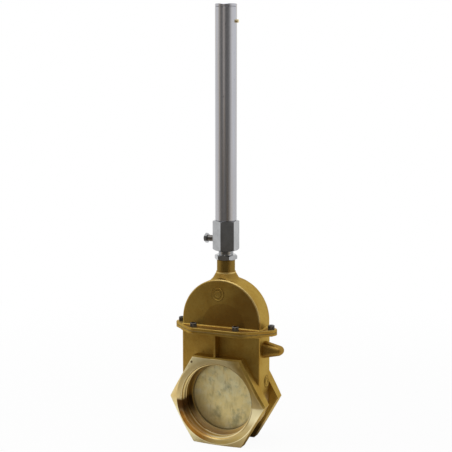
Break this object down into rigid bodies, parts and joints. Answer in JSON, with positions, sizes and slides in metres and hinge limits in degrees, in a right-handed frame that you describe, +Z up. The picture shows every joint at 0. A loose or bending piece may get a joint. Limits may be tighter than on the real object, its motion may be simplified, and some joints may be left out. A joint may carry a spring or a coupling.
{
  "type": "hydraulic gate valve",
  "caption": "Brass gate valve with two hexagonal threaded ports, a half-round bonnet and an upright hydraulic cylinder that lifts a sliding gate.",
  "frame": {"origin": "centre of the front port's mouth, on the axis of the flow", "axes": "+Y along the flow from the front port to the rear port, +Z up along the cylinder, +X to the side that carries the lug"},
  "size_m": [0.1735, 0.08, 0.6515],
  "materials": {
    "cast_brass": "satin as-cast surface, turned bright on the port faces",
    "gate_brass": "rolled plate with grey-green stains",
    "turned_brass": "turned",
    "zinc_steel": "bright zinc plate",
    "tube_steel": "drawn and zinc plated",
    "rod_steel": "ground and chromed",
    "black_steel": "black oxide",
    "seal_rubber": "moulded",
    "gasket_fibre": "pressed fibre",
    "packing_plastic": "turned"
  },
  "bodies": {
    "valve": {"body_casting": "cast_brass", "seat_seal_front": "seal_rubber", "seat_seal_rear": "seal_rubber", "flange_gasket": "gasket_fibre", "bonnet_casting": "cast_brass", "screw_front_left": "black_steel", "screw_front_right": "black_steel", "screw_rear_left": "black_steel", "screw_rear_right": "black_steel", "screw_left_end": "black_steel", "screw_right_end": "black_steel", "rod_packing": "packing_plastic", "lock_nut": "zinc_steel", "cylinder_head": "zinc_steel", "cylinder_tube": "tube_steel", "end_cap": "tube_steel", "breather_plug": "turned_brass", "hydraulic_adapter": "black_steel", "hydraulic_nipple": "zinc_steel"},
    "gate": {"gate_blade": "gate_brass", "gate_rod": "rod_steel", "piston": "turned_brass", "piston_seal": "seal_rubber", "piston_nut": "zinc_steel"}
  },
  "joints": [
    {"name": "gate_lift", "type": "slide", "parent": "valve", "child": "gate", "axis": [0, 0, 1], "range_m": [0, 0.108]}
  ]
}
